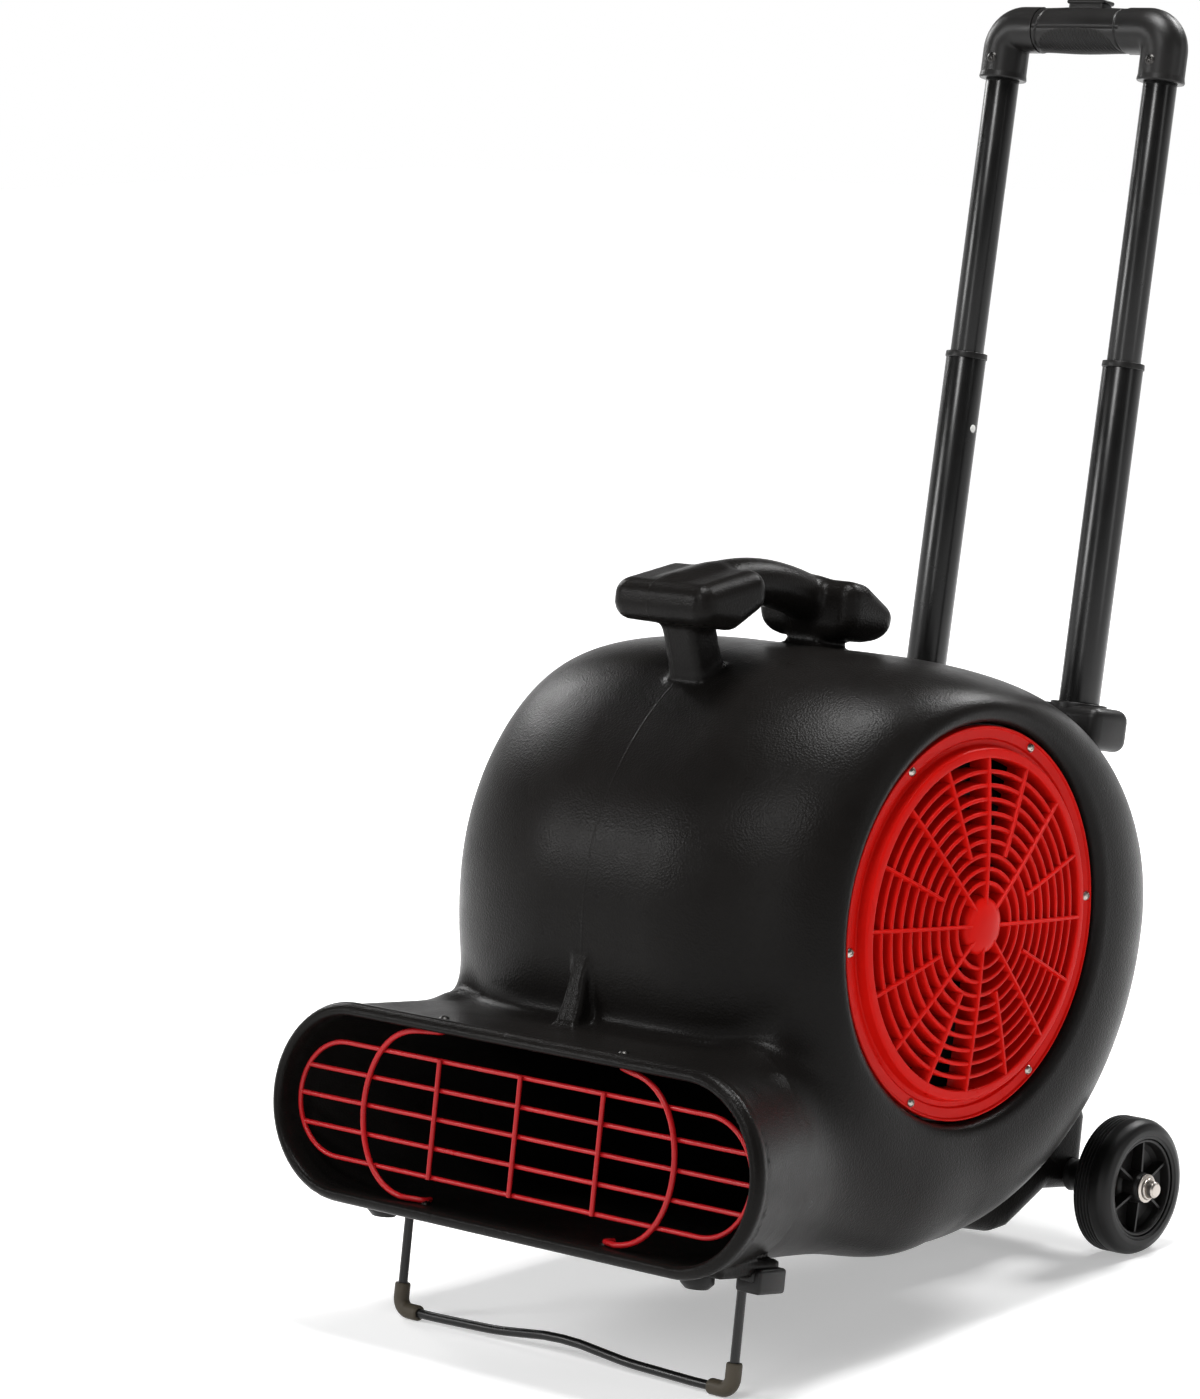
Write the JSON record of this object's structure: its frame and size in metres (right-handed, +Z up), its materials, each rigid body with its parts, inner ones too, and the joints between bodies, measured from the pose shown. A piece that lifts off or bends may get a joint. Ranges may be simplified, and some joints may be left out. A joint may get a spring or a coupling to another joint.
{
  "type": "floor blower",
  "caption": "Centrifugal floor dryer with a snail-shaped drum, slot outlet with wire guard, round inlet guards, wheels, folding stand and telescopic trolley handle.",
  "frame": {"origin": "middle of the underside of the box round the whole machine, on the floor it stands on", "axes": "+Z up; +X along the drum's axis, to the right hand of someone behind the machine who faces the outlet; -Y is the way the air leaves"},
  "size_m": [0.436, 0.6674, 0.903],
  "materials": {
    "housing_plastic": "satin, finely textured moulding",
    "red_plastic": "gloss",
    "red_wire": "coated wire, semi-gloss",
    "bright_steel": "bright zinc",
    "fan_metal": "dull",
    "motor_metal": "cast, dull",
    "tube_black": "black satin",
    "stand_steel": "black satin",
    "tyre_rubber": "matte",
    "sleeve_rubber": "matte",
    "white_plastic": "satin",
    "black_plastic": "satin"
  },
  "bodies": {
    "base": {"housing": "housing_plastic", "inlet_grille_left": "red_plastic", "inlet_grille_right": "red_plastic", "inlet_screw_left_1": "bright_steel", "inlet_screw_left_2": "bright_steel", "inlet_screw_left_3": "bright_steel", "inlet_screw_left_4": "bright_steel", "inlet_screw_left_5": "bright_steel", "inlet_screw_left_6": "bright_steel", "inlet_screw_right_1": "bright_steel", "inlet_screw_right_2": "bright_steel", "inlet_screw_right_3": "bright_steel", "inlet_screw_right_4": "bright_steel", "inlet_screw_right_5": "bright_steel", "inlet_screw_right_6": "bright_steel", "outlet_grille": "red_wire", "outlet_screw_1": "bright_steel", "outlet_screw_2": "bright_steel", "outlet_screw_3": "bright_steel", "outlet_screw_4": "bright_steel", "motor_bracket": "fan_metal", "motor_casing": "motor_metal", "switch_plate": "black_plastic", "cable_gland": "black_plastic", "trolley_yoke": "black_plastic", "outer_tube_left": "tube_black", "outer_tube_right": "tube_black", "wheel_axle": "bright_steel", "axle_bush_left": "black_plastic", "axle_bush_right": "black_plastic", "axle_washer_left": "bright_steel", "axle_washer_right": "bright_steel", "axle_clip_left": "bright_steel", "axle_clip_right": "bright_steel", "stand_block_left": "black_plastic", "stand_block_right": "black_plastic", "front_foot_left": "black_plastic", "front_foot_right": "black_plastic"},
    "fan": {"blower_wheel": "fan_metal", "motor_shaft": "bright_steel"},
    "wheel_left": {"tyre_left": "tyre_rubber", "wheel_hub_left": "black_plastic"},
    "wheel_right": {"tyre_right": "tyre_rubber", "wheel_hub_right": "black_plastic"},
    "handle_lower": {"middle_tube_left": "tube_black", "middle_tube_right": "tube_black", "ferrule_left": "black_plastic", "ferrule_right": "black_plastic", "lock_pin": "white_plastic"},
    "handle_upper": {"inner_tube_left": "tube_black", "inner_tube_right": "tube_black", "elbow_left": "black_plastic", "elbow_right": "black_plastic", "grip": "black_plastic"},
    "button": {"release_button": "black_plastic"},
    "stand": {"stand_wire": "stand_steel", "stand_sleeve_left": "sleeve_rubber", "stand_sleeve_right": "sleeve_rubber"},
    "knob": {"speed_knob": "black_plastic"}
  },
  "joints": [
    {"name": "fan_spin", "type": "hinge", "parent": "base", "child": "fan", "pos_m": [0, -0.03222, 0.2844], "axis": [1, 0, 0], "continuous": true},
    {"name": "wheel_left_spin", "type": "hinge", "parent": "base", "child": "wheel_left", "pos_m": [-0.13, 0.20165, 0.04996], "axis": [1, 0, 0], "continuous": true},
    {"name": "wheel_right_spin", "type": "hinge", "parent": "base", "child": "wheel_right", "pos_m": [0.13, 0.20165, 0.04996], "axis": [1, 0, 0], "continuous": true},
    {"name": "handle_lower_slide", "type": "slide", "parent": "base", "child": "handle_lower", "axis": [0, 0.2038, 0.979], "range_m": [-0.24, 0]},
    {"name": "handle_upper_slide", "type": "slide", "parent": "handle_lower", "child": "handle_upper", "axis": [0, 0.2038, 0.979], "range_m": [-0.2, 0]},
    {"name": "release_button_press", "type": "slide", "parent": "handle_upper", "child": "button", "axis": [0, 0.2038, 0.979], "range_m": [-0.004, 0], "stiffness_N_per_m": 800, "springref_m": 0.001},
    {"name": "stand_fold", "type": "hinge", "parent": "base", "child": "stand", "pos_m": [0, -0.25668, 0.07805], "axis": [1, 0, 0], "range_deg": [0, 88]},
    {"name": "speed_knob_turn", "type": "hinge", "parent": "base", "child": "knob", "pos_m": [0, 0.17534, 0.29216], "axis": [0, 0.979, -0.2038], "range_deg": [0, 135]}
  ]
}
